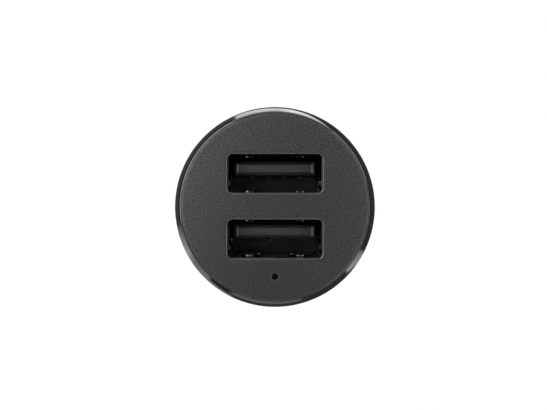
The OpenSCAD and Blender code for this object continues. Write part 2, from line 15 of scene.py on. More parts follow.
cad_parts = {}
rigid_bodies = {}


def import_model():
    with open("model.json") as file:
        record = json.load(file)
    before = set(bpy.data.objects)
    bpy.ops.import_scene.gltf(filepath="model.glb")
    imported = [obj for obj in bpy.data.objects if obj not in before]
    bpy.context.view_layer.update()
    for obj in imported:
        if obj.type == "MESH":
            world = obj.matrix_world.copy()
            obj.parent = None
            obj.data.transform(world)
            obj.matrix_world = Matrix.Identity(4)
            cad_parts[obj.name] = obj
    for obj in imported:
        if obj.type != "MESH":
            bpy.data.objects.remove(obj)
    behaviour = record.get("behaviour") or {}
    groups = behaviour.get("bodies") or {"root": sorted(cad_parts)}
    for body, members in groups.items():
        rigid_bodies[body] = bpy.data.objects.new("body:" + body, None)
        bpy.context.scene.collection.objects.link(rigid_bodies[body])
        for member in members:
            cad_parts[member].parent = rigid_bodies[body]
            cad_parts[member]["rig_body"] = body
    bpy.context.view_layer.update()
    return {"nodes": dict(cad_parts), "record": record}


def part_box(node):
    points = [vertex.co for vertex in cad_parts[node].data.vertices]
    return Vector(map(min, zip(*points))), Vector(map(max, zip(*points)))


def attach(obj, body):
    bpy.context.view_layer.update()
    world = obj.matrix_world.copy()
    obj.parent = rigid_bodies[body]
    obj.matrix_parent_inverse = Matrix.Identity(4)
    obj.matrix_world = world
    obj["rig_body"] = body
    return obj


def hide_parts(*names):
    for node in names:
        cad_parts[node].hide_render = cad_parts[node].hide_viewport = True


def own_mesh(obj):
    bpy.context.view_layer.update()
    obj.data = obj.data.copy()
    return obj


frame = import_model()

nodes = frame["nodes"]

# %% [markdown]
# ## Sizes
# The plug's axis is Y. The ports look towards -Y, and the origin is where the barrel leaves the shoulder.
# What a node's box can tell is read from the frame, so a piece made here lies where its node lies. Walls,
# gaps and edge roundings are named once.

# %% Sizes of the head and the barrel
MM = 0.001


def box_of(node):
    """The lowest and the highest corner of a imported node, in millimetres."""
    return np.array(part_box(node)) / MM


front_y, barrel_end = box_of("housing")[0][1], box_of("housing")[1][1]
head_r = box_of("housing")[1][0]
head_taper, head_wall, shoulder_t, shoulder_r = 0.8, 1.5, 1.8, 1.2
rim_w, rim_depth, rim_crown = 0.85, 0.8, 0.05
head_back_r = head_r - head_taper / 2
head_bore_r = head_back_r - head_wall
seat_r = head_r - rim_w

plate_r = box_of("face_plate")[1][0]
plate_t, plate_edge = 1.6, 0.12
plate_back = front_y + plate_t

band_r, band_len, band_ramp = 10.4, 7.5, 0.3
barrel_r, barrel_wall = 10.2, 1.3
bore_r = barrel_r - barrel_wall
print(f"Head {2 * head_r:.2f} mm across, face at y = {front_y:.1f} mm, barrel to y = {barrel_end:.1f} mm")

# %% Sizes of the ports
shell_low, shell_high = box_of("usb_shell_upper")
shell_t, shell_r = 0.3, 0.4
socket_w = shell_high[0] - shell_low[0] - 2 * shell_t
socket_h = shell_high[2] - shell_low[2] - 2 * shell_t
socket_y = shell_low[1]
port_z = {name: box_of(f"usb_shell_{name}").mean(axis=0)[2] for name in ("upper", "lower")}
window_w, window_h, window_r, window_edge = socket_w, socket_h, 0.65, 0.2
pinhole_r, pinhole_edge = 0.45, 0.06
pinhole_z = box_of("light_pipe").mean(axis=0)[2]
print(f"Sockets {socket_w:.2f} by {socket_h:.2f} mm inside, at z =", port_z)

# %% [markdown]
# ## Surfaces from grids
# Nearly every piece of a plug is turned, or is a strip with one section all along. Both are a grid: rows run
# along a profile or a path, and columns run round it. numpy works out all points of a grid at once, and the
# faces are the quads between neighbouring rows and columns. A modelling tool such as Spin would give the same
# forms, but a formula keeps every rounding a named size.


# %% The faces of a grid
def grid_faces(rows, columns, wrap_rows=False, wrap_columns=True):
    """Quads of a grid numbered row by row: each joins a point, its neighbour in the row, and the same two
    points of the next row. A wrapped direction joins its last line to its first."""
    row = np.arange(rows if wrap_rows else rows - 1)[:, None]
    column = np.arange(columns if wrap_columns else columns - 1)[None, :]
    next_row, next_column = (row + 1) % rows, (column + 1) % columns
    return np.stack([row * columns + column, row * columns + next_column,
                     next_row * columns + next_column, next_row * columns + column], axis=-1)


print("A grid of 12 rows and 192 columns that wrap has", len(grid_faces(12, 192).reshape(-1, 4)), "faces")


# %% Outlines
def rounded(corners, steps=6, closed=True):
    """An outline from rows of two coordinates and a rounding. A corner with a rounding becomes an arc, whose
    ends lie rounding / tan(half the corner's angle) along both sides, and whose points turn evenly about a
    centre on the corner's bisector."""
    corners = np.asarray(corners, float)
    places, roundings = corners[:, :2], corners[:, 2]
    stretches = []
    for i, radius in enumerate(roundings):
        corner = places[i]
        if radius == 0 or (not closed and i in (0, len(places) - 1)):
            stretches.append(corner[None])
            continue
        back, on = places[i - 1] - corner, places[(i + 1) % len(places)] - corner
        back, on = back / np.linalg.norm(back), on / np.linalg.norm(on)
        half = np.arccos(np.clip(back @ on, -1, 1)) / 2
        centre = corner + (back + on) / np.linalg.norm(back + on) * radius / np.sin(half)
        start = corner + back * radius / np.tan(half) - centre
        end = corner + on * radius / np.tan(half) - centre
        turn = np.pi - 2 * half
        k = np.linspace(0, 1, steps + 1)[:, None]
        stretches.append(centre + (np.sin((1 - k) * turn) * start + np.sin(k * turn) * end) / np.sin(turn))
    return np.concatenate(stretches)


def crown(start, end, rise, steps=8):
    """The points between start and end, lifted to the right of the way by rise times 4k(1 - k)."""
    start, end = np.array(start), np.array(end)
    run = end - start
    right = np.array([run[1], -run[0]]) / np.linalg.norm(run)
    k = np.linspace(0, 1, steps + 1)[1:-1, None]
    return start + k * run + right * rise * 4 * k * (1 - k)


def sharp_corners(points):
    """The points as corners with no rounding."""
    return [(*point, 0) for point in points]


rim_start, rim_end = (seat_r, front_y), (head_r, front_y + rim_depth)
print("The rim's crown lifts", len(crown(rim_start, rim_end, rim_crown)), "points")


# %% Turned surfaces and blocks
def turned(profile, sides=192, centre=(0, 0), closed=True):
    """A profile of (radius, y) points turned about a line along Y: x = radius cos a and z = radius sin a,
    both counted from the line's centre."""
    angle = np.linspace(0, 2 * np.pi, sides, endpoint=False)
    radius, y = profile[:, :1], profile[:, 1:]
    points = np.stack([centre[0] + radius * np.cos(angle), y + 0 * angle,
                       centre[1] + radius * np.sin(angle)], axis=-1)
    return points.reshape(-1, 3), grid_faces(len(profile), sides, wrap_rows=closed).reshape(-1, 4)


def block(low, high):
    """A box between two corners: its eight points count up in binary over x, y and z."""
    bits = np.indices((2, 2, 2)).reshape(3, -1).T
    points = np.array(low) + bits * (np.array(high) - np.array(low))
    faces = [[0, 1, 3, 2], [4, 6, 7, 5], [0, 4, 5, 1], [2, 3, 7, 6], [0, 2, 6, 4], [1, 5, 7, 3]]
    return points, np.array(faces)


print("A block has", len(block((0, 0, 0), (1, 1, 1))[1]), "faces")


# %% [markdown]
# ## From arrays to pieces
# A piece's object stays at the origin and its place is in its points. Points that meet are merged, faces are
# turned outwards, and modifiers are applied straight away, so that the mesh itself holds what is seen. Sharp
# edges split the shading, and a small bevel on them catches the light as a moulded or stamped edge does.


# %% Making a mesh object
def make_piece(name, surfaces, merge_mm=0.0001):
    """One mesh object from (points in millimetres, faces) surfaces, merged and turned outwards."""
    points, faces, first = [], [], 0
    for surface_points, surface_faces in surfaces:
        points.append(np.asarray(surface_points, float))
        faces += [[first + i for i in face] for face in np.asarray(surface_faces, dtype=object).tolist()]
        first += len(surface_points)
    mesh = bpy.data.meshes.new(name)
    mesh.from_pydata((np.concatenate(points) * MM).tolist(), [], faces)
    tidy = bmesh.new()
    tidy.from_mesh(mesh)
    bmesh.ops.remove_doubles(tidy, verts=tidy.verts, dist=merge_mm * MM)
    bmesh.ops.recalc_face_normals(tidy, faces=tidy.faces)
    tidy.to_mesh(mesh)
    tidy.free()
    return link_object(name, mesh)


def link_object(name, data):
    """A new object that shows a mesh, a camera or a lamp, at the origin of the scene."""
    made = bpy.data.objects.new(name, data)
    bpy.context.scene.collection.objects.link(made)
    return made


print("New objects join", bpy.context.scene.collection.name)


# %% Walls, edges and what a piece stands for
def settle(piece, thickness=0, bevel=0, segments=2, sharp=38):
    """Gives a sheet its thickness and sharp edges a bevel, both in millimetres, and applies them. An edge is
    sharp where its faces turn by more than sharp degrees."""
    if thickness:
        wall = piece.modifiers.new("wall", "SOLIDIFY")
        wall.thickness = thickness * MM
        wall.offset = 0
        wall.use_even_offset = True
    if bevel:
        edge = piece.modifiers.new("edge", "BEVEL")
        edge.width = bevel * MM
        edge.segments = segments
        edge.limit_method = "ANGLE"
        edge.angle_limit = np.radians(sharp)
    graph = bpy.context.evaluated_depsgraph_get()
    settled = bpy.data.meshes.new_from_object(piece.evaluated_get(graph), depsgraph=graph)
    piece.modifiers.clear()
    piece.data = settled
    settled.shade_smooth()
    settled.set_sharp_from_angle(angle=np.radians(sharp))
    return piece


def dress(piece, material, node):
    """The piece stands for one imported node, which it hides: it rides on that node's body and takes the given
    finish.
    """
    piece.data.materials.clear()
    piece.data.materials.append(material)
    body = nodes[node]["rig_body"]
    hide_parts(node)
    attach(piece, body)
    print(f"{piece.name}: {len(piece.data.polygons)} faces on {body}")


# %% [markdown]
# ## Finishes
# Colours are written as sRGB hex and turned to linear in one place. Each finish is named for its material and
# how its surface was made. On the real plug one and the same grain scatters light, dulls the gloss and stands
# out of the surface, so one noise pattern drives all three here. It reads Object coordinates, which are
# metres, so it needs no unwrapping, and a scale of 1 / size in metres gives a grain of that size.


# %% Colours, nodes and shaders
def linear(code):
    """sRGB hex to linear colour: below 0.04045 a value is divided by 12.92, above it is a power of 2.4."""
    value = np.array([int(code[i:i + 2], 16) for i in (1, 3, 5)]) / 255
    value = np.where(value <= 0.04045, value / 12.92, ((value + 0.055) / 1.055) ** 2.4)
    return (*value.tolist(), 1.0)


def add(tree, kind, inputs=None, **settings):
    """Adds a node with its settings. An input that is given as a socket is linked to it."""
    made = tree.nodes.new(kind)
    for key, value in settings.items():
        setattr(made, key, value)
    for key, value in (inputs or {}).items():
        if isinstance(value, bpy.types.NodeSocket):
            tree.links.new(value, made.inputs[key])
        else:
            made.inputs[key].default_value = value
    return made


def shader_of(material):
    """A material's node tree and its Principled shader."""
    return material.node_tree, material.node_tree.nodes["Principled BSDF"]


def finish(name, **inputs):
    """A material with one Principled shader. Plain numbers and colours go on the shader's own sockets."""
    material = bpy.data.materials.new(name)
    material.use_nodes = True
    shader = shader_of(material)[1]
    for key, value in inputs.items():
        shader.inputs[key.replace("_", " ")].default_value = value
    return material


print("Mid grey #808080 is", round(linear("#808080")[0], 3), "in linear light")


# %% One grain over a finish
def grained(material, size_mm, spans=None, shades=None, shade_limits=(0.3, 0.7), relief_mm=0.0,
            strength=0.5, stretch=(1, 1, 1), detail=3.0):
    """Lays a noise pattern over a finish, with grains about size_mm wide that stretch draws out. Most of the
    pattern lies from 0.3 to 0.7. spans gives a shader socket its values at those two, shades are the colours
    at the two shade_limits, and the pattern stands relief_mm out of the surface."""
    tree, shader = shader_of(material)
    usual_low, usual_high = 0.3, 0.7
    place = add(tree, "ShaderNodeTexCoord")
    mapped = add(tree, "ShaderNodeMapping", {"Vector": place.outputs["Object"], "Scale": stretch})
    noise = add(tree, "ShaderNodeTexNoise", {"Vector": mapped.outputs["Vector"], "Scale": 1 / (size_mm * MM),
                                             "Detail": detail, "Roughness": 0.6})
    grain = noise.outputs["Fac"]
    if shades:
        ramp = add(tree, "ShaderNodeValToRGB", {"Fac": grain})
        for stop, limit, shade in zip(ramp.color_ramp.elements, shade_limits, shades):
            stop.position, stop.color = limit, linear(shade)
        tree.links.new(ramp.outputs["Color"], shader.inputs["Base Color"])
    for socket, (low, high) in (spans or {}).items():
        span = add(tree, "ShaderNodeMapRange", {"Value": grain, "From Min": usual_low,
                                                "From Max": usual_high, "To Min": low, "To Max": high})
        tree.links.new(span.outputs["Result"], shader.inputs[socket])
    if relief_mm:
        relief = add(tree, "ShaderNodeBump", {"Height": grain, "Distance": relief_mm * MM,
                                              "Strength": strength})
        tree.links.new(relief.outputs["Normal"], shader.inputs["Normal"])
    return material


print("A grain 0.2 mm wide has a noise scale of", round(1 / (0.2 * MM)))


# %% [markdown]
# ### Plastics
# The housing and the nose cap are ABS from a polished mould: black, with a clear reflection and a very faint
# waviness. The face plate is the same plastic from a spark-eroded mould, whose fine pits scatter the light
# and make the black look dark grey. The socket insulators are glass-filled PBT, duller and slightly mottled,
# with a painted highlight: a light band near each tongue's upright edges. The light pipe is clear acrylic.
# A picture of such a surface could be wrapped round each piece, but noise of the right size has no seams.

# %% Polished and textured ABS
ABS_IOR = 1.54


def polished_abs():
    """Gloss black ABS: a near-black body, a sharp reflection, and faint wiping marks in the gloss."""
    material = finish("polished_black_abs", Base_Color=linear("#0b0b0d"), IOR=ABS_IOR)
    return grained(material, 1.6, {"Roughness": (0.06, 0.11)}, relief_mm=0.002, strength=0.4,
                   stretch=(1, 0.35, 1), detail=4)


def spark_textured_abs():
    """Matte ABS. Its pits are really 0.03 to 0.1 mm wide and are drawn 0.2 mm wide so that they show. They
    scatter the light, and a deep one gives less of it back."""
    material = finish("spark_textured_abs", IOR=ABS_IOR, Specular_IOR_Level=0.42)
    return grained(material, 0.2, {"Roughness": (0.41, 0.32), "Specular IOR Level": (0.13, 0.68)},
                   ("#060607", "#19191c"), (0.36, 0.66), relief_mm=0.02, strength=0.8)


gloss_abs, matte_abs = polished_abs(), spark_textured_abs()
print("Made", gloss_abs.name, "and", matte_abs.name)


# %% Filled PBT and clear acrylic
def filled_pbt(highlight_middle, highlight_half, highlight_end):
    """Black PBT with short glass fibres: satin, with a faint mottling 0.25 mm wide. A painted highlight, a
    light band, lies highlight_half to both sides of x = highlight_middle, on the left and the right, and ends
    at y = highlight_end."""
    material = finish("glass_filled_pbt", IOR=1.55, Specular_IOR_Level=0.3)
    grained(material, 0.25, {"Roughness": (0.36, 0.5)}, ("#262628", "#343436"), (0.35, 0.7), relief_mm=0.01,
            stretch=(1, 0.4, 1))
    tree, shader = shader_of(material)
    colour = shader.inputs["Base Color"]
    place = add(tree, "ShaderNodeTexCoord")
    axes = add(tree, "ShaderNodeSeparateXYZ", {"Vector": place.outputs["Object"]})
    # The painted highlight's band: near |x| = highlight_middle, on the tongue's upright edges, in front of y =
    # highlight_end.
    side = add(tree, "ShaderNodeMath", {0: axes.outputs["X"]}, operation="ABSOLUTE")
    band = add(tree, "ShaderNodeMath", {0: side.outputs["Value"], 1: highlight_middle * MM, 2: highlight_half * MM},
               operation="COMPARE")
    ahead = add(tree, "ShaderNodeMath", {0: axes.outputs["Y"], 1: highlight_end * MM}, operation="LESS_THAN")
    area_mask = add(tree, "ShaderNodeMath", {0: band.outputs["Value"], 1: ahead.outputs["Value"]},
              operation="MULTIPLY")
    # The painted highlight is light grey #757577, mixed into the colour inside the band.
    painted_highlight_mix = add(tree, "ShaderNodeMix", {0: area_mask.outputs["Value"], 6: colour.links[0].from_socket,
                                       7: linear("#757577")}, data_type="RGBA")
    tree.links.new(painted_highlight_mix.outputs[2], colour)
    return material


def clear_acrylic():
    """The light pipe's acrylic: clear with a faint smoky tint, and with the slight haze of a moulded end."""
    material = finish("clear_acrylic", Base_Color=linear("#a9adb3"), IOR=1.49, Transmission_Weight=1.0)
    return grained(material, 0.3, {"Roughness": (0.12, 0.24)}, detail=2)


tongue_tip = box_of("usb_insulator_upper")[0][1]
# Where the painted highlight band lies on each tongue.
tongue_side_gap, highlight_half, highlight_depth = 1.15, 0.12, 0.14
pbt = filled_pbt(socket_w / 2 - tongue_side_gap, highlight_half, tongue_tip + highlight_depth)
acrylic = clear_acrylic()
print("Made", pbt.name, "and", acrylic.name)


# %% [markdown]
# ### Metals
# The socket shells are nickel-plated steel strip, rolled and stamped, so fine lines run along them. Their
# plate is given a dark colour as painted shade for the deep ports. It is smooth and mirrors the dark port, but
# USB plugs have rubbed the lower socket's floor and its two fingers dull, and they catch the light. The ground
# contacts and the tip carry bright nickel, and the blades a thin flash of gold. An anisotropic shader could
# smear the reflections, but a stretched grain also shows the lines themselves.

# %% Plated metals
along_y = (1, 0.08, 1)


def plated(name, shades, gloss, grain_mm, stretch=(1, 1, 1)):
    """Plate over drawn or rolled metal: lines grain_mm apart, drawn out by stretch. gloss is the roughness
    of the grain's two ends."""
    return grained(finish(name, Metallic=1.0), grain_mm, {"Roughness": gloss}, shades, relief_mm=0.004,
                   stretch=stretch)


bright_nickel = plated("bright_nickel_plate", ("#b5b1a9", "#d0ccc4"), (0.16, 0.28), 0.15, along_y)
gold_flash = plated("gold_flash_on_bronze", ("#b9a27a", "#d6c7a2"), (0.2, 0.32), 0.1, along_y)
spring_wire = plated("drawn_spring_wire", ("#8f8f90", "#b4b4b5"), (0.25, 0.4), 0.1)
brass = plated("stamped_brass", ("#b08c46", "#c9a968"), (0.25, 0.4), 0.15)
can_metal = plated("drawn_aluminium_can", ("#c4c5c7", "#dcdddf"), (0.25, 0.38), 0.12)
print("Made", ", ".join(metal.name for metal in (bright_nickel, gold_flash, spring_wire, brass, can_metal)))


# %% The shells' nickel, darkened as painted shade
def rubbed(material, below_mm, dulled, soft_edge=0.1):
    """Adds dulled to a plated metal's roughness where it lies below a height, over soft_edge millimetres."""
    tree, shader = shader_of(material)
    roughness = shader.inputs["Roughness"]
    place = add(tree, "ShaderNodeTexCoord")
    height = add(tree, "ShaderNodeSeparateXYZ", {"Vector": place.outputs["Object"]})
    area_mask = add(tree, "ShaderNodeMapRange", {"Value": height.outputs["Z"], "From Min": below_mm * MM,
                                           "From Max": (below_mm - soft_edge) * MM, "To Max": dulled})
    total = add(tree, "ShaderNodeMath", {0: roughness.links[0].from_socket, 1: area_mask.outputs["Result"]})
    tree.links.new(total.outputs["Value"], roughness)
    return material


worn_height, worn_dull = 0.5, 0.17
# The plate colours #4d4b48 and #696663 are painted shade: they keep the shells as dark as the deep ports.
shade_darkened_nickel = plated("shade_darkened_nickel_strip", ("#4d4b48", "#696663"), (0.1, 0.16), 0.12, along_y)
rubbed(shade_darkened_nickel, port_z["lower"] - socket_h / 2 + worn_height, worn_dull)
print("Made", shade_darkened_nickel.name)


# %% [markdown]
# ### Inside
# The boards are glass laminate under a green solder mask, with copper tracks that show as lighter lines. The
# parts on them are black resin, fired ceramic and pressed ferrite. They could be modelled again with rounded
# edges, but they hide in the closed housing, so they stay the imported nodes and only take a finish.


# %% Board and part finishes
def solder_mask():
    """Green lacquer over copper tracks about 0.8 mm apart, which lift it a little and lighten it."""
    material = finish("green_solder_mask", Roughness=0.28, IOR=1.5)
    tree, shader = shader_of(material)
    place = add(tree, "ShaderNodeTexCoord")
    tracks = add(tree, "ShaderNodeTexBrick", {"Vector": place.outputs["Object"], "Scale": 1 / (0.8 * MM),
                                              "Color1": linear("#1f6a43"), "Color2": linear("#1b5c3b"),
                                              "Mortar": linear("#123f29"), "Mortar Size": 0.12})
    tree.links.new(tracks.outputs["Color"], shader.inputs["Base Color"])
    relief = add(tree, "ShaderNodeBump", {"Height": tracks.outputs["Fac"], "Distance": -0.02 * MM,
                                          "Strength": 1})
    tree.links.new(relief.outputs["Normal"], shader.inputs["Normal"])
    return material


def speckled(name, shades, roughness, grain_mm):
    """A dull solid whose grains of grain_mm differ a little in colour."""
    return grained(finish(name, Roughness=roughness), grain_mm, shades=shades, relief_mm=0.01)


inside = {
    "circuit_board": solder_mask(),
    "led_body": speckled("led_package", ("#d8d2b6", "#efe9cf"), 0.35, 0.2),
    "ferrite": speckled("pressed_ferrite", ("#38383a", "#4a4a4d"), 0.7, 0.15),
    "can_aluminium": can_metal,
    "chip_resin": speckled("moulded_resin", ("#1b1b1d", "#2a2a2c"), 0.6, 0.12),
    "chip_ceramic": speckled("fired_ceramic", ("#a87f55", "#bd946a"), 0.5, 0.12),
    "terminal_brass": brass,
}
for part in frame["record"]["subparts"]:
    if part["material_slot"] in inside:
        mesh = nodes[part["node"]].data
        mesh.materials.clear()
        mesh.materials.append(inside[part["material_slot"]])
print("Inner finishes:", ", ".join(inside))

# %% [markdown]
# ## The housing
# Head, stop shoulder and barrel are one moulding, open at both ends. It is a ring turned from one closed
# profile. Two windows pass through the barrel for the ground contacts. A boolean could cut them, but here the
# grid's columns fall on the windows' edges, so every face stays a clean quad: at radius r an edge that lies z
# from the middle is at the angle whose sine is z / r. The faces inside a window are left out, and its four
# sides join the outer wall to the bore.

# %% The housing's profile
contact_low, contact_high = box_of("ground_contact_right")
window_front_gap, window_back_gap, window_half = 0.17, 0.45, 2.25
window_rows, window_columns, wall_columns = 9, 10, 118
along_window = np.linspace(contact_low[1] - window_front_gap, contact_high[1] + window_back_gap, window_rows)
housing_profile = rounded([
    (head_bore_r, plate_back, 0.08), (seat_r, plate_back, 0), (*rim_start, 0.03),
    *sharp_corners(crown(rim_start, rim_end, rim_crown)), (*rim_end, 0.22), (head_back_r, 0, shoulder_r),
    (band_r, 0, 0.2), (band_r, band_len - band_ramp, 0.5), (barrel_r, band_len, 0.5),
    *[(barrel_r, y, 0) for y in along_window], (barrel_r, barrel_end, 0.3), (bore_r, barrel_end, 0.15),
    *[(bore_r, y, 0) for y in along_window[::-1]], (bore_r, -shoulder_t, 0.1),
    (head_bore_r, -shoulder_t, 0.1),
], steps=8)
print("The housing's profile has", len(housing_profile), "points")


# %% The housing's walls
def housing_surfaces(profile):
    """Rows carry the profile and columns the angle, packed between the windows' edges as told above."""
    radius = profile[:, :1]
    reach = np.clip(radius, bore_r, band_r)
    edge = np.arcsin(window_half / reach)
    over = np.arcsin(np.linspace(-1, 1, window_columns + 1) * window_half / reach)
    beside = edge + (np.pi - 2 * edge) * np.linspace(0, 1, wall_columns + 1)[1:-1]
    angle = np.concatenate([over, beside, np.pi + over, np.pi + beside], axis=1)
    points = np.stack([radius * np.cos(angle), profile[:, 1:] + 0 * angle, radius * np.sin(angle)], axis=-1)
    rows, columns = angle.shape

    def row_at(r, y):
        """The profile's row nearest to radius r and length y."""
        return int(np.argmin(np.abs(profile - [r, y]).sum(axis=1)))

    outer = np.array([row_at(barrel_r, y) for y in along_window])
    inner = np.array([row_at(bore_r, y) for y in along_window])
    faces = grid_faces(rows, columns, wrap_rows=True)
    keep = np.ones(faces.shape[:2], bool)
    walls = []
    for first in (0, window_columns + wall_columns):
        last = first + window_columns
        keep[outer[0]:outer[-1], first:last] = False
        keep[inner[-1]:inner[0], first:last] = False
        for column in (first, last):
            side = np.stack([outer, inner], axis=1) * columns + column
            walls.append(np.concatenate([side[:-1], side[1:, ::-1]], axis=1))
        for k in (0, -1):
            end = np.stack([outer[k] * columns + np.arange(first, last + 1),
                            inner[k] * columns + np.arange(first, last + 1)], axis=1)
            walls.append(np.concatenate([end[:-1], end[1:, ::-1]], axis=1))
    return [(points.reshape(-1, 3), np.concatenate([faces[keep], *walls]))]


print("The barrel's windows run from y =", along_window[0].round(2), "to", along_window[-1].round(2))

# %% The housing's rails and ribs
rail_gap, rail_w, rail_h, rail_end = 0.675, 0.8, 1.2, 19.3
rib_w, rib_h, rib_sunk = 1.4, 1.6, 0.2
wall_sunk = 0.3


def rib_surfaces():
    """Pairs of rails along the bore hold the main board and four ribs stand behind the port board. Each is a
    block sunk in the wall, and the ribs are turned by a quarter turn each."""
    across = np.sort([[-rail_gap - rail_w, -rail_gap], [rail_gap, rail_gap + rail_w]])
    up = np.sort([[-bore_r - wall_sunk, rail_h - bore_r], [bore_r - rail_h, bore_r + wall_sunk]])
    rails = [block((x[0], 0, z[0]), (x[1], rail_end, z[1])) for x in across for z in up]
    ribs = []
    for turn in np.radians([45, 135, 225, 315]):
        points, faces = block((head_bore_r - rib_h, box_of("port_board")[1][1], -rib_w / 2),
                              (head_bore_r + wall_sunk, -shoulder_t + rib_sunk, rib_w / 2))
        x, y, z = points.T
        ribs.append((np.stack([x * np.cos(turn) + z * np.sin(turn), y,
                               z * np.cos(turn) - x * np.sin(turn)], axis=1), faces))
    return rails + ribs


housing = make_piece("housing_shell", housing_surfaces(housing_profile) + rib_surfaces())
dress(settle(housing, bevel=0.1, segments=3), gloss_abs, "housing")

# %% [markdown]
# ## The face plate
# A disc with two port windows and a pinhole, and a skirt behind it that snaps into the head. Its flat front
# has holes, so it isn't a grid. Each edge is a small profile carried round its loop, and the flat between
# the loops is filled with triangles. The profiles start with a flat margin, so the fill's long triangles meet
# only flat faces and their shading stays even.

# %% Loops and what is carried round them
margin = 0.3


def circle_loop(radius, centre=(0, 0), sides=192):
    """A function that gives a circle in X and Z whose radius has grown by a given amount."""
    angle = np.linspace(0, 2 * np.pi, sides, endpoint=False)
    around = np.stack([np.cos(angle), np.sin(angle)], axis=1)
    return lambda grow: np.array(centre) + (radius + grow) * around


def rectangle_loop(width, height, radius, centre, steps=8):
    """The same for a rectangle with round corners, whose sides move out by the amount."""
    def loop(grow):
        x, z, rounding = width / 2 + grow, height / 2 + grow, radius + grow
        corners = [(x, z, rounding), (-x, z, rounding), (-x, -z, rounding), (x, -z, rounding)]
        return np.array(centre) + rounded(corners, steps)
    return loop


def edge_profile(rounding, side, count):
    """A flat margin, a rounded edge of count points and a wall, as (grow, y) points. With t from 90 degrees
    to 0, the edge grows by rounding (1 - cos t) and goes back by rounding (1 - sin t). side is 1 for a hole
    and -1 for the disc."""
    t = np.radians(np.linspace(90, 0, count))
    grow = side * np.concatenate([[rounding + margin], rounding * (1 - np.cos(t)), [0]])
    y = np.concatenate([[front_y], front_y + rounding * (1 - np.sin(t)), [plate_back]])
    return np.stack([grow, y], axis=1)


def carried(loop, profile):
    """A profile of (grow, y) points carried once round a loop: one ring of the grid for each point."""
    rings = [np.insert(loop(grow), 1, y, axis=1) for grow, y in profile]
    return np.concatenate(rings), grid_faces(len(rings), len(rings[0])).reshape(-1, 4)


def filled(loops, y):
    """The flat at length y inside the first loop and outside the others, as triangles."""
    rings = [np.insert(loop, 1, y, axis=1) for loop in loops]
    return np.concatenate(rings), np.array(tessellate_polygon([ring.tolist() for ring in rings]))


print("A window's edge profile has", len(edge_profile(window_edge, 1, 5)), "points")

# %% The face plate
plate_loop = circle_loop(plate_r, sides=256)
pin_loop = circle_loop(pinhole_r, (0, pinhole_z), sides=48)
window_loops = [rectangle_loop(window_w, window_h, window_r, (0, z)) for z in port_z.values()]
edges = [(plate_loop, plate_edge, -1, 7), *[(loop, window_edge, 1, 5) for loop in window_loops],
         (pin_loop, pinhole_edge, 1, 5)]
plate_surfaces = [carried(loop, edge_profile(*edge)) for loop, *edge in edges]
front_loops = [loop(side * (rounding + margin)) for loop, rounding, side, count in edges]
plate_surfaces += [filled(front_loops, front_y), filled([loop(0) for loop, *edge in edges], plate_back)]

skirt_end, skirt_wall, skirt_gap, skirt_sunk, skirt_edge = box_of("face_plate")[1][1], 0.9, 0.08, 0.1, 0.15
skirt_r = head_bore_r - skirt_gap
skirt_corners = [(skirt_r - skirt_wall, plate_back - skirt_sunk, 0), (skirt_r, plate_back - skirt_sunk, 0),
                 (skirt_r, skirt_end, skirt_edge), (skirt_r - skirt_wall, skirt_end, skirt_edge)]
plate_surfaces += [turned(rounded(skirt_corners, steps=3))]
face = make_piece("textured_face_plate", plate_surfaces)
dress(settle(face), matte_abs, "face_plate")

# %% [markdown]
# ## The light pipe
# A clear moulded rod from the LED to the pinhole, with a thin end that is slightly domed. Its profile starts
# and ends on its axis, so turning it closes both ends. A cylinder would need its ends shaped afterwards.

# %% The light pipe
pipe_low, pipe_high = box_of("light_pipe")
pipe_gap, pipe_dome = 0.03, 0.15
pipe_r, pipe_tip_r = (pipe_high[0] - pipe_low[0]) / 2, pinhole_r - pipe_gap
pipe_step_y = plate_back + pipe_gap
t = np.linspace(0, np.pi / 2, 6)
dome = np.stack([pipe_tip_r * np.sin(t), pipe_low[1] + pipe_dome * (1 - np.cos(t))], axis=1)
pipe_back = [(pipe_tip_r, pipe_step_y), (pipe_r, pipe_step_y), (pipe_r, pipe_high[1]), (0, pipe_high[1])]
pipe_profile = np.concatenate([dome, pipe_back])
pipe = make_piece("clear_light_pipe", [turned(pipe_profile, 48, (0, pinhole_z), closed=False)])
dress(settle(pipe), acrylic, "light_pipe")

# %% [markdown]
# ## The socket shells
# A USB socket's shell is one strip, stamped and rolled to a rounded rectangle. Six fingers are cut free on
# three sides and bent in, to grip the plug. Here it is the sheet's middle surface: rows run into the socket
# and columns go round it. Columns fall on the fingers' edges, the cells of each opening are left out, and a
# finger is a small grid of its own that starts on the opening's far edge. Solidify then gives the sheet its
# thickness, as rolling a real strip does.

# %% The shell's outline
finger_front, finger_root, finger_slot, finger_rise = 1.1, 8.6, 0.3, 0.35
finger_x, finger_w, finger_taper = 3.45, 1.9, 2.0
side_w, side_z, corner_gap = 1.33, -socket_h / 4, 0.02
socket_len, leg_half, leg_taper = 13.6, 0.9, 0.7
leg_end = shell_high[1] - socket_y
mid_x, mid_z, mid_r = (socket_w + shell_t) / 2, (socket_h + shell_t) / 2, shell_r + shell_t / 2


def finger_lines(middle, width, lowest=-np.inf):
    """Where columns fall for one finger: both slots' outer edges, both finger edges and the middle."""
    half = width / 2
    offsets = np.array([-half - finger_slot, -half, 0, half, half + finger_slot])
    return np.maximum(middle + offsets, lowest)


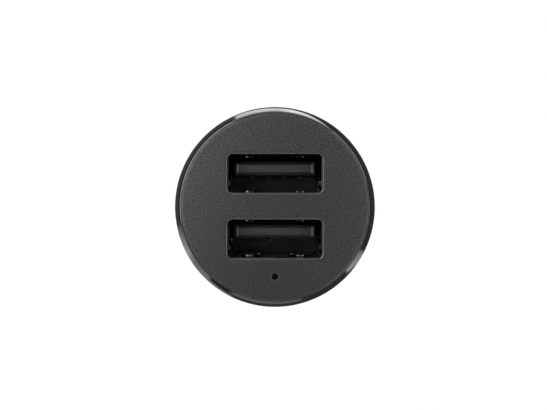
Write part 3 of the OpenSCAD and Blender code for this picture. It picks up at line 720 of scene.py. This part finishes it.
def shell_outline():
    """The sheet's section, once round: flats with the fingers' lines, and corner arcs of mid_r."""
    flat_x, flat_z = mid_x - mid_r, mid_z - mid_r
    leg_lines = [-leg_half, leg_half]
    top_lines = [finger_lines(-finger_x, finger_w), finger_lines(finger_x, finger_w), leg_lines]
    side_lines = [finger_lines(side_z, side_w, corner_gap - flat_z), leg_lines]
    across, down = np.sort(np.concatenate(top_lines)), np.unique(np.concatenate(side_lines))
    turn = np.linspace(0, np.pi / 2, 6)
    quarter = mid_r * np.stack([np.sin(turn), np.cos(turn)], axis=1)
    top = np.stack([across, np.full(len(across), mid_z)], axis=1)
    side = np.stack([np.full(len(down), mid_x), down[::-1]], axis=1)
    right = np.concatenate([np.array([flat_x, flat_z]) + quarter, side,
                            np.array([flat_x, -flat_z]) + (quarter * [1, -1])[::-1]])
    bottom = (top * [1, -1])[::-1]
    left = (right * [-1, 1])[::-1]
    return np.concatenate([top, right, bottom, left])


print("The shell's outline has", len(shell_outline()), "points")


# %% The shell's sheet, fingers and legs
def finger(base, across_way, lift_way, width, steps=18):
    """One finger. base is its place in X and Z, across_way the way of its width and lift_way the way that it
    lifts. With u from 0 at its raised tip to 1 at its root, it lifts by finger_rise times
    sin(180 degrees (u + 0.35) / 1.35), and its front narrows to half its width over finger_taper."""
    u = np.linspace(0, 1, steps)[:, None]
    y = finger_front + u * (finger_root - finger_front)
    half = width / 2 * np.clip(0.5 + 0.5 * (y - finger_front) / finger_taper, 0.5, 1)
    across = half * np.array([-1, 0, 1])
    lift = finger_rise * np.sin(np.pi * (u + 0.35) / 1.35)
    x, z = [base[i] + across * across_way[i] + lift * lift_way[i] for i in (0, 1)]
    points = np.stack([x, y + 0 * across, z], axis=-1)
    return points.reshape(-1, 3), grid_faces(steps, 3, wrap_columns=False).reshape(-1, 4)


def shell_surfaces():
    """The rolled sheet with its openings left out, its fingers and its two legs, from the mouth's middle."""
    outline, near = shell_outline(), 0.01
    rows = np.array([0, finger_front - finger_slot, finger_root, socket_len])
    points = np.stack(np.broadcast_arrays(outline[:, 0], rows[:, None], outline[:, 1]), axis=-1)
    faces = grid_faces(len(rows), len(outline))
    middle_x, middle_z = ((outline + np.roll(outline, -1, axis=0)) / 2).T
    on_flats = np.abs(np.abs(middle_z) - mid_z) < near
    on_sides = np.abs(np.abs(middle_x) - mid_x) < near
    in_flats = on_flats & (np.abs(np.abs(middle_x) - finger_x) < finger_w / 2 + finger_slot)
    in_sides = on_sides & (np.abs(middle_z - side_z) < side_w / 2 + finger_slot)
    keep = np.ones(faces.shape[:2], bool)
    keep[1, in_flats | in_sides] = False
    surfaces = [(points.reshape(-1, 3), faces[keep])]
    for side in (-1, 1):
        surfaces += [finger((x, side * mid_z), (1, 0), (0, -side), finger_w) for x in (-finger_x, finger_x)]
        surfaces += [finger((side * mid_x, side_z), (0, 1), (-side, 0), side_w)]
        leg = [(side * mid_x, socket_len, -leg_half), (side * mid_x, socket_len, leg_half),
               (side * mid_x, leg_end, leg_half * leg_taper), (side * mid_x, leg_end, -leg_half * leg_taper)]
        surfaces += [(leg, [[0, 1, 2, 3]])]
    return surfaces


for name, z in port_z.items():
    moved = [(np.asarray(points) + [0, socket_y, z], faces) for points, faces in shell_surfaces()]
    shell = make_piece(f"rolled_shell_{name}", moved)
    dress(settle(shell, thickness=shell_t, bevel=0.004), shade_darkened_nickel, f"usb_shell_{name}")


# %% [markdown]
# ## Insulators and blades
# The insulator is all flat faces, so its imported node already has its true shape. A copy of it is merged, its
# flats are joined and its edges get the small radius that a mould gives. A blade is a strip: one section
# carried along a path that lies in the tongue's groove and bows out below it.


# %% Finished copies of flat-faced nodes
def finished_copy(node, name, bevel, tip_y, tip_len=0.4, tip_rounding=0.16):
    """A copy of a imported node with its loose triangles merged, its flats joined and its edges bevelled. The
    two upright edges of each chamfer at the tongue's tip, which lie within tip_len of tip_y, get the wider
    tip_rounding."""
    mesh = nodes[node].data.copy()
    tidy = bmesh.new()
    tidy.from_mesh(mesh)
    bmesh.ops.remove_doubles(tidy, verts=tidy.verts, dist=0.001 * MM)
    bmesh.ops.dissolve_limit(tidy, angle_limit=np.radians(1), verts=tidy.verts, edges=tidy.edges)
    upright = [edge for edge in tidy.edges if all(vert.co.y < (tip_y + tip_len) * MM for vert in edge.verts)
               and abs(edge.verts[0].co.z - edge.verts[1].co.z) > 0.5 * edge.calc_length()]
    bmesh.ops.bevel(tidy, geom=upright, offset=tip_rounding * MM, segments=5, profile=0.5, affect="EDGES")
    tidy.to_mesh(mesh)
    tidy.free()
    return settle(link_object(name, mesh), bevel=bevel)


for name in port_z:
    insulator = finished_copy(f"usb_insulator_{name}", f"moulded_insulator_{name}", 0.05, tongue_tip)
    dress(insulator, pbt, f"usb_insulator_{name}")


# %% Strips carried along a path
def strip(path, width, thickness, order, edge=0.04):
    """A flat section with rounded edges carried along a path in one plane. The section's thin side follows
    the path's normal, which is its direction turned by 90 degrees, and its wide side lies across the plane.
    order says which axes the path's two values and the width take."""
    path = np.asarray(path, float)
    along = np.gradient(path, axis=0)
    along /= np.linalg.norm(along, axis=1, keepdims=True)
    normal = np.stack([along[:, 1], -along[:, 0]], axis=1)
    half = np.broadcast_to(np.asarray(width, float) / 2, len(path))[:, None]
    t = thickness / 2
    section = rounded([(t, 1, edge), (-t, 1, edge), (-t, -1, edge), (t, -1, edge)], steps=2)
    plane = path[:, None, :] + normal[:, None, :] * section[None, :, :1]
    wide = np.sign(section[:, 1]) * (half - 1 + np.abs(section[:, 1]))
    points = np.empty((*plane.shape[:2], 3))
    points[..., order[0]], points[..., order[1]], points[..., order[2]] = plane[..., 0], plane[..., 1], wide
    rows, columns = plane.shape[:2]
    faces = grid_faces(rows, columns).reshape(-1, 4).tolist()
    ends = [list(range(columns)), [(rows - 1) * columns + i for i in range(columns)]]
    return points.reshape(-1, 3), faces + ends


print("A strip along 3 points has", len(strip([(0, 0), (1, 0), (2, 0)], 1, 0.2, (1, 2, 0))[1]), "faces")

# %% The blades
socket_depth, tongue_len, tongue_bottom = 11.4, 8.9, -0.06
blade_x, blade_w, blade_t, blade_bow, blade_lead = (-3.5, -1, 1, 3.5), 1.0, 0.25, 0.33, 0.9
straight_y, tail_y, tail_step, tail_w = 13.0, 13.55, 0.05, 0.5
blade_front = socket_depth - tongue_len + blade_lead
blade_z = tongue_bottom + blade_t / 2
tail_end = box_of("usb_blade_upper_1")[1][1] - socket_y
u = np.linspace(0, 1, 28)
bowed = np.stack([blade_front + u * (socket_depth - blade_front),
                  blade_z - blade_bow * np.sin(np.pi * u ** 0.7)], axis=1)
straight = [(y, blade_z) for y in (straight_y, tail_y - tail_step, tail_y + tail_step, tail_end)]
blade_path = np.concatenate([bowed, straight])
blade_widths = np.where(blade_path[:, 0] < tail_y, blade_w, tail_w)
for name, z in port_z.items():
    for i, x in enumerate(blade_x, 1):
        points, faces = strip(blade_path, blade_widths, blade_t, (1, 2, 0))
        blade = make_piece(f"gold_blade_{name}_{i}", [(points + [x, socket_y, z], faces)])
        dress(settle(blade, sharp=50), gold_flash, f"usb_blade_{name}_{i}")

# %% [markdown]
# ## The ground contacts
# Each is one spring strip: an arm that reaches in to the main board, a bend at the ears that hold it in the
# barrel, a bowed leaf that presses on the car socket's wall, and a free end that curls in. The leaf is an arc
# through its two ends that rises by leaf_rise in the middle. A flat sheet could be bent by a modifier, but a
# section carried along the path keeps its thickness in every bend.

# %% The ground contacts
strip_t, strip_w, curl_len, bend_r = 0.4, 4.0, 1.0, 0.3
ear_x, ear_half, ear_root, ear_reach, ear_low = 8.8, 0.4, 1.9, contact_high[2], contact_low[1]
root_y, leaf_end = ear_low + strip_t / 2, contact_high[1] - strip_t / 2
leaf_half = (leaf_end - root_y) / 2
leaf_rise = contact_high[0] - barrel_r
leaf_r = (leaf_half ** 2 + leaf_rise ** 2) / (2 * leaf_rise)
leaf_y = np.linspace(-leaf_half, leaf_half, 33)
leaf_x = contact_high[0] - leaf_r + np.sqrt((leaf_r - strip_t / 2) ** 2 - leaf_y ** 2)
leaf = np.stack([leaf_x, leaf_y + root_y + leaf_half], axis=1)
contact_path = rounded([(contact_low[0], root_y, 0), (leaf_x[0], root_y, bend_r), *sharp_corners(leaf[2:-2]),
                        (leaf_x[-1], leaf_end, bend_r), (leaf_x[-1] - curl_len, leaf_end, 0)],
                       steps=8, closed=False)
for name, side in (("right", 1), ("left", -1)):
    surfaces = [strip(contact_path, strip_w, strip_t, (0, 1, 2))]
    surfaces += [block((ear_x - ear_half, ear_low, low), (ear_x + ear_half, ear_low + strip_t, high))
                 for low, high in ((-ear_reach, -ear_root), (ear_root, ear_reach))]
    surfaces = [(np.asarray(points) * [side, 1, 1], faces) for points, faces in surfaces]
    contact = make_piece(f"spring_contact_{name}", surfaces)
    dress(settle(contact, sharp=50), bright_nickel, f"ground_contact_{name}")

# %% [markdown]
# ## The nose: cap, tip and spring
# The cap and the tip are turned parts, so both are profiles turned about the axis, and every rounding stays a
# number beside its corner. The tip is hollow and its flange stops on the cap's end wall. The spring behind it
# is a tube along a helix. On the real plug it flattens along the axis when the tip is pressed in; here it
# keeps one shape.

# %% The nose cap
cap_low, cap_high = box_of("nose_cap")
spigot_y, cap_end, cap_r = cap_low[1], cap_high[1], cap_high[0]
spigot_r, cap_land, cap_crown, nose_r, end_wall = bore_r - 0.03, 1.2, 0.5, 6.3, 3.7
tip_r, tip_gap, flange_r, flange_gap = 3.0, 0.08, box_of("centre_tip")[1][0], 0.2
hole_r, chamber_r, chamber_y = tip_r + tip_gap, flange_r + flange_gap, cap_end - end_wall
cap_curve = crown((cap_r, barrel_end + cap_land), (nose_r, cap_end), cap_crown, steps=16)
cap_profile = rounded([
    (spigot_r, spigot_y, 0.2), (spigot_r, barrel_end, 0.05), (cap_r, barrel_end, 0.12),
    (cap_r, barrel_end + cap_land, 0.3), *sharp_corners(cap_curve), (nose_r, cap_end, 0.4),
    (hole_r, cap_end, 0.15), (hole_r, chamber_y, 0.05), (chamber_r, chamber_y, 0.05),
    (chamber_r, spigot_y, 0.1),
])
cap = make_piece("turned_nose_cap", [turned(cap_profile)])
dress(settle(cap), gloss_abs, "nose_cap")

# %% The centre tip
tip_low, tip_high = box_of("centre_tip")
flange_y, tip_bore_r, tip_bore_y = tip_low[1] + 1.2, tip_r - 0.8, tip_low[1] + 3.0
dome_r, dome_share, neck_drop = tip_r + 0.2, 0.93, 0.35
dome_y = tip_high[1] - dome_r
dome_angle = np.linspace(0, 1, 20) * np.arcsin(tip_r / dome_r) * dome_share
tip_dome = np.stack([dome_r * np.sin(dome_angle), dome_y + dome_r * np.cos(dome_angle)], axis=1)
neck_y = dome_y + np.sqrt(dome_r ** 2 - tip_r ** 2) - neck_drop
tip_profile = rounded([
    *sharp_corners(tip_dome), (tip_r, neck_y, 0.5), (tip_r, flange_y, 0.15), (flange_r, flange_y, 0.1),
    (flange_r, tip_low[1], 0.1), (tip_bore_r, tip_low[1], 0.1), (tip_bore_r, tip_bore_y, 0.2),
    (0, tip_bore_y, 0),
], closed=False)
tip = make_piece("plated_centre_tip", [turned(tip_profile, 128, closed=False)])
dress(settle(tip), bright_nickel, "centre_tip")


# %% The tip's spring
def coil(radius, wire_r, start, end, turns, sides=16, per_turn=48):
    """A tube along a helix, with t round the wire: the distance from the axis is radius + wire cos t, and the
    length is the turn's even rise from start to end + wire sin t."""
    rows = int(turns * per_turn) + 1
    angle = np.linspace(0, 2 * np.pi * turns, rows)[:, None]
    tilt = np.linspace(0, 2 * np.pi, sides, endpoint=False)
    reach = radius + wire_r * np.cos(tilt)
    y = start + wire_r + (end - start - 2 * wire_r) * angle / angle[-1] + wire_r * np.sin(tilt)
    points = np.stack([reach * np.cos(angle), y, -reach * np.sin(angle)], axis=-1)
    ends = [list(range(sides)), [(rows - 1) * sides + i for i in range(sides)]]
    return points.reshape(-1, 3), grid_faces(rows, sides).reshape(-1, 4).tolist() + ends


spring_low, spring_high = box_of("tip_spring")
wire_r, spring_turns, press_depth = 0.3, 5, 2.5
spring = make_piece("coiled_tip_spring", [coil(spring_high[0] - wire_r, wire_r, spring_low[1], spring_high[1],
                                               spring_turns)])
dress(settle(spring, sharp=60), spring_wire, "tip_spring")
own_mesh(spring)

# %% [markdown]
# ## Camera, floor and light
# The photo looks straight at the face from about 98 mm: the tongues' front edges lie 4.2 mm deeper than the
# face and are drawn 0.959 times as large. The picture is 547 pixels wide and shows 72.6 mm at the face. The
# plug's axis lies a pixel or two right of and below the picture's middle, which the lens shift takes up.

# %% The camera
image_w, pixels_per_mm, camera_distance = 547, 7.53, 98.0
axis_right_px, axis_down_px = 1.45, 2.0
camera_data = bpy.data.cameras.new("camera")
camera_data.sensor_width = 36
camera_data.lens = camera_data.sensor_width * camera_distance * pixels_per_mm / image_w
camera_data.shift_x = -axis_right_px / image_w
camera_data.shift_y = axis_down_px / image_w
camera_data.clip_start = 0.001
camera = link_object("camera", camera_data)
camera.location = (0, (front_y - camera_distance) * MM, 0)
camera.rotation_euler = (np.pi / 2, 0, 0)
bpy.context.scene.camera = camera
print(f"The lens is {camera_data.lens:.1f} mm")

# %% [markdown]
# The background is white: the world shows strength 1 to the camera, in reflections and through clear parts,
# and lights everything else more softly. One wide sun from the front and upper left is the studio's soft key
# light. The floor lies well below the plug, which hangs by its mount. It takes the key's shadow and adds a
# little white for the camera, so that it meets the background.

# %% World and key light
scene = bpy.context.scene
scene.view_settings.view_transform = "Standard"
world = bpy.data.worlds.new("white_room")
scene.world = world
world.use_nodes = True
tree = world.node_tree
room_level, seen_level = 0.45, 1.0
path = add(tree, "ShaderNodeLightPath")
seen = path.outputs["Is Camera Ray"]
for ray in ("Is Glossy Ray", "Is Transmission Ray"):
    seen = add(tree, "ShaderNodeMath", {0: seen, 1: path.outputs[ray]}, operation="MAXIMUM").outputs["Value"]
strength = add(tree, "ShaderNodeMapRange", {"Value": seen, "To Min": room_level, "To Max": seen_level})
tree.links.new(strength.outputs["Result"], tree.nodes["Background"].inputs["Strength"])
tree.nodes["Background"].inputs["Color"].default_value = (1, 1, 1, 1)

key_data = bpy.data.lights.new("key", "SUN")
key_data.energy, key_data.angle = 2.15, np.radians(35)
key = link_object("key", key_data)
key.rotation_euler = Vector((0.5, 1.0, -0.5)).to_track_quat("-Z", "Y").to_euler()
key.visible_glossy = False
print("The key light's strength is", round(key_data.energy, 2))

# %% The floor
floor_z, floor_half, floor_white = -50.0, 3000.0, 0.52
floor_corners = [(x * floor_half, y * floor_half, floor_z) for x, y in ((-1, -1), (1, -1), (1, 1), (-1, 1))]
floor = make_piece("floor", [(floor_corners, [[0, 1, 2, 3]])])
material = finish("pale_floor", Base_Color=linear("#d9d9d9"), Roughness=0.9)
tree, shader = shader_of(material)
path = add(tree, "ShaderNodeLightPath")
white = add(tree, "ShaderNodeEmission", {"Color": (1, 1, 1, 1), "Strength": floor_white})
lifted = add(tree, "ShaderNodeAddShader", {0: shader.outputs[0], 1: white.outputs[0]})
mixed = add(tree, "ShaderNodeMixShader", {0: path.outputs["Is Camera Ray"], 1: shader.outputs[0],
                                          2: lifted.outputs[0]})
tree.links.new(mixed.outputs[0], tree.nodes["Material Output"].inputs["Surface"])
floor.data.materials.append(material)
floor.visible_glossy = False
print("A floor at", floor_z, "mm")

# %% [markdown]
# What a gloss black rim shows is its surroundings, so a globe of cards and dark flags stands round the plug
# for reflections alone. A place on the globe has an azimuth round the plug's axis (0 to the right, 90
# overhead) and a polar angle (0 towards the camera, 90 beside the plug, 180 behind it). The rim shows the
# camera polar angles from 72 on its inner side to 108 on its outer side, and the matte face shows a wide blur
# of the smaller ones. Many lamps could light the plug so too, but here every point of one globe holds its own
# glow, so each card is placed where the photo shows its reflection.


# %% The cards
def card(azimuth, polar, places, inner, outer, glows, edge=2.0):
    """A card's cover, 0 to 1, and its glow. Along the azimuths in places, its inner and outer polar limits
    and its glow change evenly from one value to the next, and all four sides fade over edge degrees."""
    low, high = np.interp(azimuth, places, inner), np.interp(azimuth, places, outer)
    sides = [azimuth - places[0], places[-1] - azimuth, polar - low, high - polar]
    cover = np.prod([np.clip(side / edge + 0.5, 0, 1) for side in sides], axis=0)
    return cover, np.interp(azimuth, places, glows)


cards = {
    "overhead softbox": ((44, 48, 56, 64, 72, 80, 88, 96, 114),
                         (74, 74, 74, 75.5, 77.5, 78.5, 79, 78.5, 77.5),
                         (74, 74, 79, 87.5, 94, 96.5, 98, 99, 101),
                         (8, 8, 8, 9.6, 11, 12, 8.2, 8.8, 6.8)),
    "upper left flag": ((114, 191), (84, 84), (130, 130), (0.5, 0.5)),
    "lower left card": ((191, 197, 208, 214, 228), (72,) * 5, (118,) * 5, (1.1, 2.1, 3.8, 2.0, 2.2)),
    "lower left flag": ((228, 243), (72, 72), (91, 94), (0.16, 0.16)),
    "lower left edge": ((228, 244), (91, 94), (118, 118), (2.2, 1.6)),
    "table edge": ((243, 286), (60, 60), (87, 87), (1.6, 1.5)),
    "lower right card": ((318, 323, 328, 333), (68,) * 4, (93, 98, 118, 118), (4.0, 3.8, 3.2, 2.6)),
    "key softbox": ((112, 200), (16, 16), (34, 34), (6.6, 6.6)),
    "key edge": ((112, 200), (34, 34), (46, 46), (3.4, 3.4)),
    "front overhead strip": ((72, 108), (44, 44), (57, 57), (4, 4)),
    "top strip": ((52, 116), (60, 60), (79, 79), (2.2, 2.2)),
    "front right card": ((-44, 60), (19, 19), (42, 42), (3.6, 3.6)),
    "left strip": ((116, 160, 172, 190), (46,) * 4, (74.5, 74.5, 71.5, 70.5), (9.0,) * 4),
    "right strip": ((-32, 12, 18, 52), (44,) * 4, (62, 64, 73, 73), (7.0,) * 4),
    "bottom strip": ((222, 324), (42, 42), (64, 64), (6.6, 6.6)),
}
print("Cards and flags:", ", ".join(cards))

# %% The globe
globe_r, globe_rows, globe_columns = 260.0, 181, 360
room_polar = [0, 11, 14, 24, 40, 66, 76, 180]
room_glow = [0.06, 0.06, 0.05, 0.05, 0.3, 0.45, 0.32, 0.26]
polar = np.linspace(0, 180, globe_rows)[:, None] + np.zeros(globe_columns)
azimuth = np.arange(globe_columns) * 360 / globe_columns + np.zeros((globe_rows, 1))
radial = np.clip(np.sin(np.radians(polar)), 1e-3, 1)
globe_points = globe_r * np.stack([radial * np.cos(np.radians(azimuth)), -np.cos(np.radians(polar)),
                                   radial * np.sin(np.radians(azimuth))], axis=-1)
glow = np.interp(polar, room_polar, room_glow)
for places, inner, outer, glows in cards.values():
    for turn in (-360, 0):
        cover, value = card(azimuth + turn, polar, places, inner, outer, glows)
        glow += cover * (value - glow)

mesh = bpy.data.meshes.new("globe_of_cards")
mesh.from_pydata((globe_points.reshape(-1, 3) * MM).tolist(), [],
                 grid_faces(globe_rows, globe_columns).reshape(-1, 4).tolist())
mesh.attributes.new("glow", "FLOAT", "POINT").data.foreach_set("value", glow.ravel())
material = finish("glowing_cards")
tree = material.node_tree
level = add(tree, "ShaderNodeAttribute", attribute_name="glow")
emission = add(tree, "ShaderNodeEmission", {"Strength": level.outputs["Fac"]})
tree.links.new(emission.outputs[0], tree.nodes["Material Output"].inputs["Surface"])
mesh.materials.append(material)
globe = link_object("globe_of_cards", mesh)
for kind in ("camera", "diffuse", "transmission", "volume_scatter", "shadow"):
    setattr(globe, f"visible_{kind}", False)
print("A globe of", len(cards), "cards, whose glow runs from", glow.min(), "to", glow.max())
